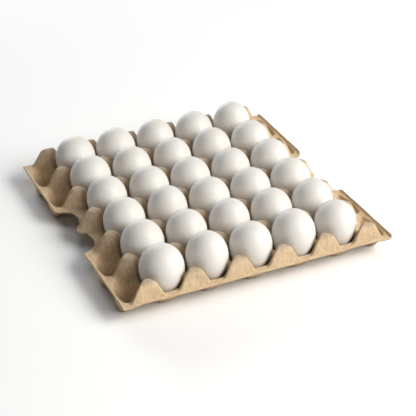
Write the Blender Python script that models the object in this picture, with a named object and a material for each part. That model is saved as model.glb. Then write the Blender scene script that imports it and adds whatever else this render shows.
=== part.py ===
"""Thirty-cell egg tray of moulded pulp, filled with thirty eggs.

Metres, +Z up. The origin is on the ground below the middle of the tray, +Y runs along its six rows of eggs
and +X along its five columns. The tray is one thin sheet: a cup for each egg, a hollow post at each corner of
a cup, a flat rim, half cups in the two side margins and a pair of finger notches.
"""

import math
import random

import bmesh
import bpy
from mathutils import Vector

# Layout
PITCH = 0.047  # from egg to egg, both ways
HALF = PITCH / 2
COLUMNS = 5
ROWS = 6
TRAY_WIDTH = 0.2872  # along X
TRAY_LENGTH = 0.2935  # along Y
TRAY_CORNER = 0.003  # corner radius of the rim
GAP = 0.0003  # between an egg and the tray

# Pulp sheet: heights are those of its upper face
SHEET = 0.002
CUP_FLOOR = SHEET
RIM = 0.020
POST_TOP = 0.0372
DRAFT = math.radians(8.5)  # lean of the tray's outer walls

# Cup and post, as radii
FLOOR_RADIUS = 0.00925
CUP_RADIUS = 0.0212
POST_TOP_RADIUS = 0.0065
RIDGE_REACH = 0.0167  # from a post's axis to the foot of its ridges
CUP_STEPS = 3  # facets in a quarter of a cup

# Finger notch: two scallops and the cusp between them, on each side
SCALLOP_RADIUS = 0.0208
SCALLOP_X = 0.1478
SCALLOP_Y = 0.0220
CUSP_X = 0.1363
NOTCH_END_Y = 0.0443
NOTCH_CORNER = 0.0035  # length rounded off where the notch meets the rim's edge
SCALLOP_STEPS = 7
MIDDLE_ROWS = (2, 3)  # rows with no half cup beside them

# Egg: blunt end up
EGG_RADIUS = 0.02120
EGG_EQUATOR = 0.0330  # height of its widest ring
EGG_BELOW = EGG_EQUATOR - CUP_FLOOR - GAP
EGG_ABOVE = 0.0240
EGG_TAPER = 0.04  # how much slimmer than an ellipse the lower end is
EGG_SIDES = 12
EGG_RINGS = 5
STOUT_EGGS = {(1, 1), (1, 4), (5, 1), (6, 1)}
SLIM_EGGS = {(1, 5), (2, 2), (2, 3), (2, 5), (3, 2), (5, 3), (6, 3), (6, 5)}
TALL_EGGS = {(1, 2), (1, 4), (3, 2), (5, 4), (6, 5)}
STOUT = 0.0006
SLIM = -0.0004
TALL = 0.0017
EGG_SPREAD = 0.0003  # what is left of the unevenness, either way

WELD = 0.00001

PULP_COLOUR = (0.53, 0.38, 0.24, 1.0)
SHELL_COLOUR = (0.86, 0.84, 0.80, 1.0)


def clear_scene():
    for thing in list(bpy.data.objects):
        bpy.data.objects.remove(thing, do_unlink=True)


def material(name, colour, roughness):
    made = bpy.data.materials.new(name)
    made.use_nodes = True
    shader = made.node_tree.nodes["Principled BSDF"]
    shader.inputs["Base Color"].default_value = colour
    shader.inputs["Roughness"].default_value = roughness
    shader.inputs["Metallic"].default_value = 0.0
    return made


def add_object(name, mesh, skin):
    made = bpy.data.objects.new(name, mesh)
    made.data.materials.append(skin)
    bpy.context.scene.collection.objects.link(made)
    return made


def add_face(bm, points):
    return bm.faces.new([bm.verts.new(p) for p in points])


class Quarter:
    """A quarter of a cup or post: points are given for +X +Y and mirrored by the two signs."""

    def __init__(self, bm, x, y, sign_x, sign_y):
        self.bm = bm
        self.x = x
        self.y = y
        self.sign_x = sign_x
        self.sign_y = sign_y

    def face(self, *points):
        placed = [(self.x + self.sign_x * p[0], self.y + self.sign_y * p[1], p[2]) for p in points]
        if self.sign_x * self.sign_y < 0:
            placed.reverse()
        add_face(self.bm, placed)


def arc(radius, height, steps):
    angles = [math.pi / 2 * i / steps for i in range(steps + 1)]
    return [(radius * math.cos(a), radius * math.sin(a), height) for a in angles]


def add_cup_quarter(quarter):
    """Floor, sloping wall and the flats of the two saddles beside it."""
    floor = arc(FLOOR_RADIUS, CUP_FLOOR, CUP_STEPS)
    lip = arc(CUP_RADIUS, RIM, CUP_STEPS)
    for i in range(CUP_STEPS):
        quarter.face((0, 0, CUP_FLOOR), floor[i], floor[i + 1])
        quarter.face(floor[i], lip[i], lip[i + 1], floor[i + 1])
    foot = HALF - RIDGE_REACH
    quarter.face(lip[0], (HALF, 0, RIM), (HALF, foot, RIM), lip[1])
    quarter.face(lip[-1], lip[-2], (foot, HALF, RIM), (0, HALF, RIM))


def add_post_quarter(quarter):
    """Two half ridges, the face between them that looks at an egg, and a quarter of the flat top."""
    lip = arc(CUP_RADIUS, RIM, CUP_STEPS)
    near_y = (HALF - lip[2][0], HALF - lip[2][1], RIM)
    near_x = (HALF - lip[1][0], HALF - lip[1][1], RIM)
    ridge_x = (RIDGE_REACH, 0, RIM)
    ridge_y = (0, RIDGE_REACH, RIM)
    top_x, top_d, top_y = arc(POST_TOP_RADIUS, POST_TOP, 2)
    quarter.face(ridge_x, near_y, top_x)
    quarter.face(near_y, top_d, top_x)
    quarter.face(near_y, near_x, top_d)
    quarter.face(near_x, top_y, top_d)
    quarter.face(near_x, ridge_y, top_y)
    quarter.face((0, 0, POST_TOP), top_x, top_d, top_y)


def column_x(column):
    return (column - (COLUMNS - 1) / 2) * PITCH


def row_y(row):
    return (row - (ROWS - 1) / 2) * PITCH


def add_quarters(bm):
    """Whole cups under the eggs, half cups in the margins, and the quarter posts round each of them."""
    for column in range(-1, COLUMNS + 1):
        for row in range(ROWS):
            in_margin = column in (-1, COLUMNS)
            signs_x = (-1, 1) if not in_margin else (1,) if column < 0 else (-1,)
            for sign_x in signs_x:
                for sign_y in (-1, 1):
                    x = column_x(column)
                    y = row_y(row)
                    if not (in_margin and row in MIDDLE_ROWS):
                        add_cup_quarter(Quarter(bm, x, y, sign_x, sign_y))
                    post_x = x + sign_x * HALF
                    post_y = y + sign_y * HALF
                    add_post_quarter(Quarter(bm, post_x, post_y, -sign_x, -sign_y))


def close_margin_cups(bm):
    """Cuts the half cups along a leaning plane and closes each with a flat outer wall."""
    for side in (-1, 1):
        edge_x = side * column_x(COLUMNS)
        normal = Vector((side, 0, -math.tan(DRAFT))).normalized()
        cut = bmesh.ops.bisect_plane(
            bm,
            geom=bm.verts[:] + bm.edges[:] + bm.faces[:],
            dist=WELD,
            plane_co=(edge_x, 0, RIM),
            plane_no=normal,
            clear_outer=True,
        )
        corners = {v for v in cut["geom_cut"] if isinstance(v, bmesh.types.BMVert)}
        for row in range(ROWS):
            if row in MIDDLE_ROWS:
                continue
            wall = [v for v in corners if abs(v.co.y - row_y(row)) < CUP_RADIUS + WELD]
            lower = sorted((v for v in wall if v.co.z < RIM - WELD), key=lambda v: v.co.y)
            ends = [v for v in wall if v.co.z >= RIM - WELD]
            ends = sorted(ends, key=lambda v: v.co.y)
            ring = [ends[0]] + lower + [ends[-1]]
            if side < 0:
                ring.reverse()
            bm.faces.new(ring)


def close_end_posts(bm):
    """Closes the half posts of the two ends with a leaning flat face and its two narrow flanks."""
    lean = (POST_TOP - RIM) * math.tan(DRAFT)
    for end in (-1, 1):
        y = end * ROWS * HALF
        foot_y = y + end * lean
        for column in range(COLUMNS + 1):
            x = column_x(column) - HALF
            top = [(x - POST_TOP_RADIUS, y, POST_TOP), (x, y, POST_TOP), (x + POST_TOP_RADIUS, y, POST_TOP)]
            foot = [(x - RIDGE_REACH, foot_y, RIM), (x + RIDGE_REACH, foot_y, RIM)]
            left = [top[0], (x - RIDGE_REACH, y, RIM), foot[0]]
            right = [top[2], foot[1], (x + RIDGE_REACH, y, RIM)]
            front = [top[2], top[1], top[0], foot[0], foot[1]]
            for face in (left, right, front):
                if end > 0:
                    face.reverse()
                add_face(bm, face)


def rounded(corner, before, after, length, steps=3):
    """Points that round off a corner: before and after are the directions of its two sides, leading away."""
    first = corner + before * length
    last = corner + after * length
    points = []
    for i in range(steps + 1):
        t = i / steps
        points.append(tuple(first * (1 - t) ** 2 + corner * 2 * t * (1 - t) + last * t * t))
    return points


def notch_half():
    """Upper half of the right-hand notch's outline, from the cusp's tip out to the rim's edge."""
    tip = (CUSP_X, 0)
    start = math.pi + math.acos((SCALLOP_X - CUSP_X + SHEET) / SCALLOP_RADIUS)
    stop = math.pi - math.acos((SCALLOP_X - CUSP_X - SHEET) / SCALLOP_RADIUS)
    points = [tip]
    for i in range(SCALLOP_STEPS + 1):
        angle = start + (stop - start) * i / SCALLOP_STEPS
        points.append(
            (SCALLOP_X + SCALLOP_RADIUS * math.cos(angle), SCALLOP_Y + SCALLOP_RADIUS * math.sin(angle))
        )
    corner = Vector((TRAY_WIDTH / 2, NOTCH_END_Y))
    inward = (Vector(points[-1]) - corner).normalized()
    return points + rounded(corner, inward, Vector((0, 1)), NOTCH_CORNER)


def rim_outline():
    """The rim's outer edge, anticlockwise from above."""
    corner = Vector((TRAY_WIDTH / 2, TRAY_LENGTH / 2))
    quarter = notch_half() + rounded(corner, Vector((0, -1)), Vector((-1, 0)), TRAY_CORNER)
    left = [(-x, y) for x, y in reversed(quarter)]
    upper = quarter + left
    lower = [(-x, -y) for x, y in upper]
    return upper[:-1] + lower[:-1]


def add_rim(bm):
    """Fills the flat sheet between the cups' and posts' outer edges and the tray's outline."""
    inner = [e for e in bm.edges if e.is_boundary]
    ring = [bm.verts.new((x, y, RIM)) for x, y in rim_outline()]
    outer = [bm.edges.new((ring[i - 1], ring[i])) for i in range(len(ring))]
    bmesh.ops.triangle_fill(bm, edges=inner + outer, use_beauty=True, normal=(0, 0, 1))


def build_tray(skin):
    bm = bmesh.new()
    add_quarters(bm)
    close_end_posts(bm)
    bmesh.ops.remove_doubles(bm, verts=bm.verts[:], dist=WELD)
    close_margin_cups(bm)
    bmesh.ops.remove_doubles(bm, verts=bm.verts[:], dist=WELD)
    add_rim(bm)
    bmesh.ops.recalc_face_normals(bm, faces=bm.faces[:])
    mesh = bpy.data.meshes.new("tray")
    bm.to_mesh(mesh)
    bm.free()
    tray = add_object("tray", mesh, skin)
    sheet = tray.modifiers.new("sheet", "SOLIDIFY")
    sheet.solidify_mode = "NON_MANIFOLD"
    sheet.nonmanifold_thickness_mode = "CONSTRAINTS"
    sheet.nonmanifold_boundary_mode = "NONE"
    sheet.thickness = SHEET
    sheet.offset = -1
    return tray


def egg_rings(radius, above):
    """Radius and height of each ring between the two ends, from the lower end up."""
    rings = []
    for i in range(1, EGG_RINGS + 1):
        angle = math.pi * i / (EGG_RINGS + 1)
        rise = -math.cos(angle)
        reach = radius * math.sin(angle)
        if rise < 0:
            rings.append((reach * (1 - EGG_TAPER * rise * rise), rise * EGG_BELOW))
        else:
            rings.append((reach, rise * above))
    return rings


def egg_mesh(name, radius, above):
    bm = bmesh.new()
    rings = []
    for reach, height in egg_rings(radius, above):
        angles = [2 * math.pi * i / EGG_SIDES for i in range(EGG_SIDES)]
        rings.append([bm.verts.new((reach * math.cos(a), reach * math.sin(a), height)) for a in angles])
    low = bm.verts.new((0, 0, -EGG_BELOW))
    high = bm.verts.new((0, 0, above))
    for i in range(EGG_SIDES):
        j = (i + 1) % EGG_SIDES
        bm.faces.new((low, rings[0][j], rings[0][i]))
        bm.faces.new((high, rings[-1][i], rings[-1][j]))
        for below, upper in zip(rings, rings[1:]):
            bm.faces.new((below[i], below[j], upper[j], upper[i]))
    mesh = bpy.data.meshes.new(name)
    bm.to_mesh(mesh)
    bm.free()
    mesh.shade_smooth()
    return mesh


def build_eggs(skin):
    chance = random.Random(30)
    for row in range(1, ROWS + 1):
        for column in range(1, COLUMNS + 1):
            place = (row, column)
            girth = STOUT if place in STOUT_EGGS else SLIM if place in SLIM_EGGS else 0
            radius = EGG_RADIUS + girth + chance.uniform(-EGG_SPREAD, EGG_SPREAD)
            above = EGG_ABOVE + (TALL if place in TALL_EGGS else 0) + chance.uniform(-EGG_SPREAD, EGG_SPREAD)
            name = f"egg_r{row}_c{column}"
            egg = add_object(name, egg_mesh(name, radius, above), skin)
            egg.location = (column_x(column - 1), row_y(row - 1), EGG_EQUATOR)


def main():
    clear_scene()
    build_tray(material("pulp", PULP_COLOUR, 0.92))
    build_eggs(material("eggshell", SHELL_COLOUR, 0.45))


main()
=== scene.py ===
"""Looks of the egg carton: a moulded-pulp tray of thirty cups, and the thirty white eggs in it."""

import math
import random

import bpy
import numpy as np
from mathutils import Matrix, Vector

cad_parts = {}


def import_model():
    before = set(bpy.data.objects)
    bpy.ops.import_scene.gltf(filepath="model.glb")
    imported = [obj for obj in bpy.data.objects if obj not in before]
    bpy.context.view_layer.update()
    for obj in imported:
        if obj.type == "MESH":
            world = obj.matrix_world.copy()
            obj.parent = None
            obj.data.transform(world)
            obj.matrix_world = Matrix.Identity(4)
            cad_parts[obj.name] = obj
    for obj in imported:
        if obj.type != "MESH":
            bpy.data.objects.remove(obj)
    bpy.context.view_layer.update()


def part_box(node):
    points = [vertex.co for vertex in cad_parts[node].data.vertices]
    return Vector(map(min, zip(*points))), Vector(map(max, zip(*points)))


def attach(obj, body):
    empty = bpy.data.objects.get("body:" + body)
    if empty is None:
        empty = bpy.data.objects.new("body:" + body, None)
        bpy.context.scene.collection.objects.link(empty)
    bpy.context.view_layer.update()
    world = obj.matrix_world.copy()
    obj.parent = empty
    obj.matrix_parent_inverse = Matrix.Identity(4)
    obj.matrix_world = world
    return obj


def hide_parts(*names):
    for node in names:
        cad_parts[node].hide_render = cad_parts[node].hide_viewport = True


# Heights and radii of the pulp sheet's upper face, in metres
SHEET = 0.002
FLOOR = SHEET
RIM = 0.020
CUP_RADIUS = 0.0212
CUP_FLOOR_RADIUS = 0.0104
FLOOR_ROUNDING = 0.0026
CUP_SQUARENESS = 2.3  # 2 is a round cup
RIDGE_REACH = 0.0167  # from a post's axis to the foot of its four ridges
RIDGE_TIP = 0.0056  # the same where the ridges would end
RIDGE_TIP_HEIGHT = 0.0205  # above the rim
FOOT_EXPONENT = 1.07  # cross-section of a post: 1 is a diamond, 2 a circle
TIP_EXPONENT = 1.42
RIDGE_SOFTNESS = 0.00045
POST_TOP = 0.0380
POST_DOME = 0.030  # radius of the top's doming
DRAFT = math.tan(math.radians(8.5))  # lean of the outer walls
LIP = 0.0018  # how far the side edges turn up
RIGHT_LIP = 0.0027  # the right one turns up more
LIP_WIDTH = 0.0021
SKEW = 0.0009  # both side margins sit this much to the left
MARGIN_DROP = 0.0012  # how far the side rims hang below the rest
MARGIN_EXTRA = 0.0006  # and how far they spread
RIM_CORNER = 0.0012
POCKET_RADIUS = 0.0226  # half cups in the margins
POCKET_FLOOR_RADIUS = 0.0104
POCKET_LEAN = 0.12  # how their axes lean in towards the foot
POCKET_WALL = 0.0011  # outer wall's top, beyond the half cups' axes
POCKET_DRAFT = math.tan(math.radians(13.0))
POCKET_BOW = 0.046  # plan radius of the left outer wall at the rim
POCKET_FOOT_BOW = 0.0105  # and at the foot
RIGHT_BOW = 0.120  # the right wall is flatter
RIGHT_FOOT_BOW = 0.040
POCKET_BOW_Y = -0.0045  # where along the pocket it reaches out most
POCKET_CORNER = 0.0040  # where the wall meets the half cup
SHOULDER = 0.0022

# Finger notch: two scallops and a cusp on each side
SCALLOP_RADIUS = 0.0208
SCALLOP_X = 0.1478
SCALLOP_Y = 0.0220
CUSP_X = 0.1356
CUSP_ROUNDNESS = 0.006
NOTCH_END_Y = 0.0443
NOTCH_CORNER = 0.0030

# Grid of the sheet
STEPS = 15  # cells in half a pitch
WALL_STEP = 0.00045  # cells across the steep outer walls
UNEVEN = 0.00035  # how far the pulp wanders from its mould

EGG_SIDES = 64
EGG_RINGS = 44

LAMP_SIZE = 1.4
LAMP_DISTANCE = 2.2


def smooth_max(a, b, reach):
    """The larger of two heights, rounded where they meet."""
    near = np.maximum(reach - np.abs(a - b), 0) / reach
    return np.maximum(a, b) + near * near * reach / 4


def smooth_min(a, b, reach):
    return -smooth_max(-a, -b, reach)


def ease(t):
    t = np.clip(t, 0, 1)
    return t * t * (3 - 2 * t)


class Layout:
    """Where the frame has its eggs and its edges."""

    def __init__(self):
        low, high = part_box("tray")
        self.half_width = high.x + MARGIN_EXTRA
        self.half_length = high.y
        first = self.centre("egg_r1_c1")
        last = self.centre("egg_r6_c5")
        self.pitch = (last.x - first.x) / 4
        self.last_x = last.x
        self.last_y = last.y
        self.margin_x = last.x + self.pitch
        self.end_y = last.y + self.pitch / 2
        self.middle_y = self.pitch

    @staticmethod
    def centre(node):
        low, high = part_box(node)
        return (low + high) / 2


def cup_reach(dx, dy):
    """Distance from a cup's axis, measured so that the cup is slightly square in plan."""
    n = CUP_SQUARENESS
    return (np.abs(dx) ** n + np.abs(dy) ** n) ** (1 / n)


def pocket_depth(lay, x, along):
    """Depth below the rim at which a margin pocket, with its rounded plan corners, is just reached."""
    across = np.abs(x)
    rim_bow = np.where(x < 0, POCKET_BOW, RIGHT_BOW)
    foot_bow = np.where(x < 0, POCKET_FOOT_BOW, RIGHT_FOOT_BOW)
    narrowing = (POCKET_RADIUS - POCKET_FLOOR_RADIUS) / (RIM - FLOOR)
    tightening = (rim_bow - foot_bow) / (RIM - FLOOR)
    low = np.full_like(across, -0.03)
    high = np.full_like(across, 0.06)
    for _ in range(26):
        depth = (low + high) / 2
        axis = lay.margin_x - POCKET_LEAN * np.maximum(depth, 0)
        to_cup = POCKET_RADIUS - narrowing * depth - np.hypot(across - axis, along)
        bow = np.maximum(rim_bow - tightening * np.maximum(depth, 0), 0.003)
        bow_x = lay.margin_x + POCKET_WALL - POCKET_DRAFT * depth - bow
        to_wall = bow - np.hypot(np.maximum(across - bow_x, 0), along - POCKET_BOW_Y)
        corner = np.minimum(POCKET_CORNER, bow / 2)
        inside = np.hypot(np.maximum(corner - to_cup, 0), np.maximum(corner - to_wall, 0)) < corner
        low = np.where(inside, depth, low)
        high = np.where(inside, high, depth)
    return low


def cups_height(lay, x, y):
    """Cups under the eggs and half cups in the margins, cut off by the rim."""
    slope = (RIM - FLOOR) / (CUP_RADIUS - CUP_FLOOR_RADIUS)
    pitch = lay.pitch
    column = np.clip(np.round((x - lay.last_x) / pitch), -5, 1)
    row = np.clip(np.round((y - lay.last_y) / pitch), -5, 0)
    dx = x - (lay.last_x + column * pitch)
    dy = y - (lay.last_y + row * pitch)
    height = RIM - (CUP_RADIUS - cup_reach(dx, dy)) * slope
    margin = (column == 1) | (column == -5)
    middle = (row == -2) | (row == -3)
    height = np.where(margin & middle, RIM + 0.01, height)
    pocket = margin & ~middle
    height[pocket] = RIM - pocket_depth(lay, x[pocket], dy[pocket])
    height = smooth_max(height, FLOOR, FLOOR_ROUNDING)
    rim = RIM - MARGIN_DROP * ease((np.abs(x) - lay.margin_x + 0.016) / 0.012)
    return smooth_min(height, rim, np.where(pocket, SHOULDER, 0.0018))


def posts_height(lay, x, y):
    """Four-sided posts that end in rounded tops; at the two ends they are cut along a leaning face."""
    pitch = lay.pitch
    clamped_y = np.clip(y, -lay.end_y, lay.end_y)
    clamped_x = np.clip(x, -lay.margin_x, lay.margin_x)
    column = np.clip(np.round(clamped_x / pitch - 0.5), -3, 2)
    row = np.round(clamped_y / pitch)
    dx = clamped_x - (column + 0.5) * pitch
    dy = clamped_y - row * pitch
    across = np.sqrt(dx**2 + RIDGE_SOFTNESS**2)
    along = np.sqrt(dy**2 + RIDGE_SOFTNESS**2)
    foot = (across**FOOT_EXPONENT + along**FOOT_EXPONENT) ** (1 / FOOT_EXPONENT)
    tip = (across**TIP_EXPONENT + along**TIP_EXPONENT) ** (1 / TIP_EXPONENT)
    share = (RIDGE_REACH - foot) / np.maximum(tip - foot + RIDGE_REACH - RIDGE_TIP, 0.002)
    height = RIM + RIDGE_TIP_HEIGHT * share
    top = POST_TOP - (dx**2 + dy**2) / (2 * POST_DOME)
    height = smooth_min(height, top, 0.0026)
    face = RIM + (lay.end_y + RIDGE_TIP_HEIGHT * DRAFT - np.abs(y)) / DRAFT
    return smooth_min(height, face, 0.0022)


def sheet_height(lay, x, y):
    """Height of the sheet's upper face."""
    height = smooth_max(cups_height(lay, x, y), posts_height(lay, x, y), 0.0028)
    turned_up = np.where(x < 0, LIP, RIGHT_LIP) * np.clip((np.abs(x) - lay.half_width + LIP_WIDTH) / LIP_WIDTH, 0, 1.5) ** 2
    return height + turned_up


def underside_height(lay, x, y):
    """Height of the lower face: a ball as wide as the sheet is thick rolls under the upper one."""
    lowest = sheet_height(lay, x, y) - SHEET
    for tilt in (20, 40, 55, 68, 80, 90):
        reach = SHEET * math.sin(math.radians(tilt))
        drop = SHEET * math.cos(math.radians(tilt))
        for i in range(16):
            turn = 2 * math.pi * i / 16
            there = sheet_height(lay, x + reach * math.cos(turn), y + reach * math.sin(turn))
            lowest = np.minimum(lowest, there - drop)
    return np.maximum(lowest, 0)


def edge_x(lay, y):
    """Half width of the tray at a distance along it: the rim's edge, or the notch's outline."""
    along = np.abs(y)
    arc = SCALLOP_X - np.sqrt(np.maximum(SCALLOP_RADIUS**2 - (along - SCALLOP_Y) ** 2, 0))
    cusp = CUSP_X - along**2 / (2 * CUSP_ROUNDNESS)
    cusp = np.where(along < SCALLOP_Y / 2, cusp, 1)
    arc_or_cusp = np.where(along < SCALLOP_Y / 2, smooth_min(arc, cusp, 0.0015), arc)
    slope = 1.4
    shoulder = lay.half_width - (NOTCH_END_Y - along) * slope
    outline = np.where(along > SCALLOP_Y + 0.01, smooth_min(arc_or_cusp, shoulder, 0.002), arc_or_cusp)
    outline = np.where(along > NOTCH_END_Y - 0.0005, np.maximum(outline, shoulder), outline)
    return smooth_min(np.where(along > NOTCH_END_Y + 0.004, 1.0, outline), lay.half_width, NOTCH_CORNER)


def grid_lines(last_even, stop, fine_from, fine_to, step):
    """Positions from the middle to an edge: even cells, then fine ones across a steep wall, then the rim."""
    even = np.arange(0, last_even + step / 2, step)
    fine = np.arange(fine_from, fine_to, WALL_STEP)
    outer = np.linspace(fine_to, stop, 3)
    half = np.concatenate([even[even < fine_from - WALL_STEP], fine, outer])
    return np.concatenate([-half[:0:-1], half])


def round_corners(lay, x, y):
    """Draws the rim's four square corners in to quarter circles."""
    u = np.maximum(np.abs(x) - lay.half_width + RIM_CORNER, 0) / RIM_CORNER
    v = np.maximum(np.abs(y) - lay.half_length + RIM_CORNER, 0) / RIM_CORNER
    both = (u > 0) & (v > 0)
    new_u = np.where(both, u * np.sqrt(1 - v * v / 2), u)
    new_v = np.where(both, v * np.sqrt(1 - u * u / 2), v)
    return x + np.sign(x) * (new_u - u) * RIM_CORNER, y + np.sign(y) * (new_v - v) * RIM_CORNER


def wander(x, y, z, seed, wavelength):
    """Smooth pseudo-random field between about -1 and 1, as a sum of waves in many directions."""
    chance = random.Random(seed)
    total = np.zeros_like(x)
    for _ in range(9):
        direction = Vector([chance.gauss(0, 1) for _ in range(3)]).normalized()
        length = wavelength * chance.uniform(0.6, 1.7)
        phase = chance.uniform(0, 2 * math.pi)
        total += np.sin(2 * math.pi * (direction.x * x + direction.y * y + direction.z * z) / length + phase)
    return total / 3


def tray_points(lay):
    step = lay.pitch / 2 / STEPS
    lines_x = grid_lines(lay.margin_x, lay.half_width, lay.margin_x - 0.0050, lay.half_width - 0.0006, step)
    lines_y = grid_lines(lay.end_y, lay.half_length, lay.end_y - 0.0022, lay.end_y + 0.0034, step)
    x, y = np.meshgrid(lines_x, lines_y)
    squeeze_from = lay.margin_x - lay.pitch / 2
    squeeze = (edge_x(lay, y) - squeeze_from) / (lay.half_width - squeeze_from)
    beyond = np.maximum(np.abs(x) - squeeze_from, 0)
    x = np.where(beyond > 0, np.sign(x) * (squeeze_from + beyond * squeeze), x)
    return round_corners(lay, x, y)


def tray_mesh(lay):
    """The sheet as one closed mesh: an upper and a lower grid, joined round the edge."""
    x, y = tray_points(lay)
    rows, columns = x.shape
    upper = sheet_height(lay, x, y)
    lower = underside_height(lay, x, y)
    shift = UNEVEN * wander(x, y, upper * 0, 3, 0.07)
    ripple = 0.4 * UNEVEN * wander(x, y, upper * 0, 5, 0.017)
    lift = (shift + ripple) * ease((upper - FLOOR) / 0.008)
    skewed = x - SKEW * ease((np.abs(x) - 0.122) / 0.020)
    upper_points = np.stack([skewed, y, upper + lift], axis=-1).reshape(-1, 3)
    lower_points = np.stack([skewed, y, np.maximum(lower + lift * (lower > 0.0005), 0)], axis=-1).reshape(-1, 3)
    count = rows * columns
    points = np.concatenate([upper_points, lower_points])
    index = np.arange(count).reshape(rows, columns)
    a = index[:-1, :-1].ravel()
    b = index[:-1, 1:].ravel()
    c = index[1:, 1:].ravel()
    d = index[1:, :-1].ravel()
    top = np.stack([a, b, c, d], axis=1)
    bottom = np.stack([d, c, b, a], axis=1) + count
    ring = np.concatenate([index[0, :-1], index[:-1, -1], index[-1, :0:-1], index[:0:-1, 0]])
    following = np.roll(ring, -1)
    side = np.stack([following, ring, ring + count, following + count], axis=1)
    faces = np.concatenate([top, bottom, side])
    mesh = bpy.data.meshes.new("pulp_tray")
    mesh.from_pydata(points.tolist(), [], faces.tolist())
    mesh.validate()
    mesh.shade_smooth()
    return mesh


def egg_profile(radius, below, above, sharpness):
    """Radius and height of an egg's rings between its two ends."""
    rings = []
    for i in range(1, EGG_RINGS):
        angle = math.pi * i / EGG_RINGS
        rise = -math.cos(angle)
        reach = radius * math.sin(angle)
        if rise < 0:
            rings.append((reach * (1 - sharpness * rise * rise), rise * below))
        else:
            rings.append((reach, rise * above))
    return rings


def egg_mesh(name, radius, below, above, chance):
    sharpness = 0.05
    points = []
    lean = [chance.uniform(-1, 1) for _ in range(4)]
    for reach, height in egg_profile(radius, below, above, sharpness):
        for i in range(EGG_SIDES):
            turn = 2 * math.pi * i / EGG_SIDES
            oval = 1 + 0.006 * lean[0] * math.cos(2 * turn) + 0.005 * lean[1] * math.sin(3 * turn)
            points.append((reach * oval * math.cos(turn), reach * oval * math.sin(turn), height))
    rings = EGG_RINGS - 1
    low = len(points)
    high = low + 1
    points += [(0, 0, -below), (0, 0, above)]
    faces = []
    for i in range(EGG_SIDES):
        j = (i + 1) % EGG_SIDES
        faces.append((low, j, i))
        faces.append((high, (rings - 1) * EGG_SIDES + i, (rings - 1) * EGG_SIDES + j))
        for ring in range(rings - 1):
            base = ring * EGG_SIDES
            faces.append((base + i, base + j, base + EGG_SIDES + j, base + EGG_SIDES + i))
    mesh = bpy.data.meshes.new(name)
    mesh.from_pydata(points, [], faces)
    mesh.shade_smooth()
    return mesh


def add_piece(name, mesh, skin, slot, node):
    piece = bpy.data.objects.new(name, mesh)
    piece.data.materials.append(skin)
    bpy.context.scene.collection.objects.link(piece)
    return piece


def settle(piece, node):
    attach(piece, "root")
    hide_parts(node)


class Nodes:
    """Builds a node material step by step."""

    def __init__(self, name):
        self.material = bpy.data.materials.new(name)
        self.material.use_nodes = True
        self.tree = self.material.node_tree
        self.shader = self.tree.nodes["Principled BSDF"]

    def add(self, kind, **settings):
        node = self.tree.nodes.new(kind)
        for key, value in settings.items():
            if hasattr(node, key):
                setattr(node, key, value)
            else:
                node.inputs[key.replace("_", " ").title()].default_value = value
        return node

    def link(self, source, output, target, socket):
        self.tree.links.new(source.outputs[output], target.inputs[socket])


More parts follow.
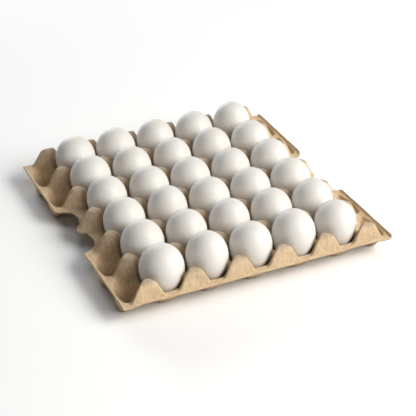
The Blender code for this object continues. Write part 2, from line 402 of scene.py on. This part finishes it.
def pulp_material():
    made = Nodes("moulded_pulp")
    where = made.add("ShaderNodeTexCoord")
    broad = made.add("ShaderNodeTexNoise", scale=28.0, detail=4.0, roughness=0.6)
    fibre = made.add("ShaderNodeTexNoise", scale=420.0, detail=5.0, roughness=0.65)
    stretch = made.add("ShaderNodeMapping")
    stretch.inputs["Scale"].default_value = (1.0, 1.0, 0.22)
    made.link(where, "Object", broad, "Vector")
    made.link(where, "Object", stretch, "Vector")
    made.link(stretch, "Vector", fibre, "Vector")
    ramp = made.add("ShaderNodeValToRGB")
    ramp.color_ramp.elements[0].position = 0.30
    ramp.color_ramp.elements[0].color = (0.48, 0.352, 0.220, 1)
    ramp.color_ramp.elements[1].position = 0.70
    ramp.color_ramp.elements[1].color = (0.70, 0.527, 0.340, 1)
    made.link(fibre, "Fac", ramp, "Fac")
    tint = made.add("ShaderNodeMix", data_type="RGBA", blend_type="MULTIPLY")
    tint.inputs["Factor"].default_value = 0.5
    shade = made.add("ShaderNodeValToRGB")
    shade.color_ramp.elements[0].position = 0.35
    shade.color_ramp.elements[0].color = (0.80, 0.78, 0.74, 1)
    shade.color_ramp.elements[1].position = 0.65
    shade.color_ramp.elements[1].color = (1.0, 1.0, 1.0, 1)
    made.link(broad, "Fac", shade, "Fac")
    made.link(ramp, "Color", tint, "A")
    made.link(shade, "Color", tint, "B")
    specks = made.add("ShaderNodeTexNoise", scale=640.0, detail=1.0, roughness=0.5)
    made.link(where, "Object", specks, "Vector")
    spots = made.add("ShaderNodeValToRGB")
    spots.color_ramp.elements[0].position = 0.26
    spots.color_ramp.elements[0].color = (0.45, 0.40, 0.34, 1)
    spots.color_ramp.elements[1].position = 0.33
    spots.color_ramp.elements[1].color = (1.0, 1.0, 1.0, 1)
    made.link(specks, "Fac", spots, "Fac")
    flecked = made.add("ShaderNodeMix", data_type="RGBA", blend_type="MULTIPLY")
    flecked.inputs["Factor"].default_value = 0.8
    made.link(tint, "Result", flecked, "A")
    made.link(spots, "Color", flecked, "B")
    split = made.add("ShaderNodeSeparateXYZ")
    made.link(where, "Object", split, "Vector")
    # Painted shade: the post tops are made darker and greyer over their highest few millimetres.
    shaded_top_mask = made.add("ShaderNodeMapRange")
    shaded_top_mask.inputs["From Min"].default_value = POST_TOP - 0.0045
    shaded_top_mask.inputs["From Max"].default_value = POST_TOP - 0.0010
    made.link(split, "Z", shaded_top_mask, "Value")
    shaded_tops = made.add("ShaderNodeMix", data_type="RGBA", blend_type="MULTIPLY")
    shaded_tops.inputs["B"].default_value = (0.80, 0.83, 0.92, 1)
    made.link(shaded_top_mask, "Result", shaded_tops, "Factor")
    made.link(flecked, "Result", shaded_tops, "A")
    # Painted shade: the pulp is made darker and greyer from 12 mm high down to 2 mm, for the shade under the
    # rim around the feet.
    low = made.add("ShaderNodeMapRange")
    low.inputs["From Min"].default_value = 0.012
    low.inputs["From Max"].default_value = 0.002
    made.link(split, "Z", low, "Value")
    shaded_feet = made.add("ShaderNodeMix", data_type="RGBA", blend_type="MULTIPLY")
    shaded_feet.inputs["B"].default_value = (0.74, 0.73, 0.72, 1)
    made.link(low, "Result", shaded_feet, "Factor")
    made.link(shaded_tops, "Result", shaded_feet, "A")
    made.link(shaded_feet, "Result", made.shader, "Base Color")
    bump = made.add("ShaderNodeBump")
    bump.inputs["Strength"].default_value = 0.5
    bump.inputs["Distance"].default_value = 0.0006
    made.link(fibre, "Fac", bump, "Height")
    made.link(bump, "Normal", made.shader, "Normal")
    made.shader.inputs["Roughness"].default_value = 0.92
    made.shader.inputs["Specular IOR Level"].default_value = 0.25
    return made.material


def eggshell_material():
    made = Nodes("white_eggshell")
    where = made.add("ShaderNodeTexCoord")
    cloud = made.add("ShaderNodeTexNoise", scale=60.0, detail=3.0, roughness=0.5)
    pores = made.add("ShaderNodeTexNoise", scale=1400.0, detail=2.0, roughness=0.5)
    made.link(where, "Object", cloud, "Vector")
    made.link(where, "Object", pores, "Vector")
    ramp = made.add("ShaderNodeValToRGB")
    ramp.color_ramp.elements[0].position = 0.3
    ramp.color_ramp.elements[0].color = (0.676, 0.649, 0.608, 1)
    ramp.color_ramp.elements[1].position = 0.7
    ramp.color_ramp.elements[1].color = (0.716, 0.692, 0.653, 1)
    made.link(cloud, "Fac", ramp, "Fac")
    made.link(ramp, "Color", made.shader, "Base Color")
    bump = made.add("ShaderNodeBump")
    bump.inputs["Strength"].default_value = 0.12
    bump.inputs["Distance"].default_value = 0.0002
    made.link(pores, "Fac", bump, "Height")
    made.link(bump, "Normal", made.shader, "Normal")
    made.shader.inputs["Roughness"].default_value = 0.5
    made.shader.inputs["Specular IOR Level"].default_value = 0.4
    return made.material


def add_tray(lay):
    tray = add_piece("pulp_tray", tray_mesh(lay), pulp_material(), "pulp", "tray")
    settle(tray, "tray")


def add_eggs():
    skin = eggshell_material()
    chance = random.Random(12)
    for row in range(1, 7):
        for column in range(1, 6):
            node = f"egg_r{row}_c{column}"
            low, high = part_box(node)
            radius = (high.x - low.x) / 2
            equator = EQUATOR
            mesh = egg_mesh("shell_" + node, radius, equator - low.z, high.z - equator, chance)
            egg = add_piece("shell_" + node, mesh, skin, "eggshell", node)
            egg.location = ((low.x + high.x) / 2, (low.y + high.y) / 2, equator)
            settle(egg, node)


EQUATOR = 0.0330


def add_stage():
    mesh = bpy.data.meshes.new("floor")
    size = 6.0
    mesh.from_pydata(
        [(-size, -size, 0), (size, -size, 0), (size, size, 0), (-size, size, 0)], [], [(0, 1, 2, 3)]
    )
    floor = bpy.data.objects.new("floor", mesh)
    floor.location.z = -0.0001
    skin = bpy.data.materials.new("floor")
    skin.use_nodes = True
    skin.node_tree.nodes["Principled BSDF"].inputs["Base Color"].default_value = (0.92, 0.92, 0.92, 1)
    skin.node_tree.nodes["Principled BSDF"].inputs["Roughness"].default_value = 0.9
    mesh.materials.append(skin)
    bpy.context.scene.collection.objects.link(floor)


def add_light(name, azimuth, elevation, power, colour):
    """A disk lamp aimed at the tray; azimuth 0 is the front, and it grows towards +X."""
    turn = math.radians(azimuth)
    rise = math.radians(elevation)
    direction = Vector((math.sin(turn) * math.cos(rise), -math.cos(turn) * math.cos(rise), math.sin(rise)))
    data = bpy.data.lights.new(name, "AREA")
    data.shape = "DISK"
    data.size = LAMP_SIZE
    data.energy = power
    data.color = colour
    lamp = bpy.data.objects.new(name, data)
    lamp.location = direction * LAMP_DISTANCE
    lamp.rotation_euler = (-direction).to_track_quat("-Z", "Y").to_euler()
    lamp.visible_camera = False
    bpy.context.scene.collection.objects.link(lamp)


def add_lights():
    world = bpy.data.worlds.new("studio")
    world.use_nodes = True
    world.node_tree.nodes["Background"].inputs["Color"].default_value = (1.0, 1.0, 1.0, 1)
    world.node_tree.nodes["Background"].inputs["Strength"].default_value = 0.07
    bpy.context.scene.world = world
    add_light("key", 38, 37, 54, (1.0, 0.985, 0.955))
    add_light("high_key", 65, 45, 12, (1.0, 0.985, 0.955))
    add_light("top", 0, 85, 6, (0.96, 0.98, 1.0))
    add_light("back", 180, 16, 33, (0.94, 0.97, 1.0))
    add_light("side", -90, 15, 0.5, (0.95, 0.975, 1.0))


def add_camera():
    data = bpy.data.cameras.new("camera")
    camera = bpy.data.objects.new("camera", data)
    place = Vector((-0.48540, -1.05558, 0.71522))
    target = Vector((0.00029, -0.01923, 0.0200))
    camera.location = place
    camera.rotation_euler = (target - place).to_track_quat("-Z", "Y").to_euler()
    data.sensor_width = 36
    data.lens = 112.22
    data.clip_start = 0.05
    bpy.context.scene.collection.objects.link(camera)
    bpy.context.scene.camera = camera


def main():
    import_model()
    lay = Layout()
    add_tray(lay)
    add_eggs()
    add_stage()
    add_lights()
    add_camera()
    bpy.context.scene.view_settings.view_transform = "Standard"


main()
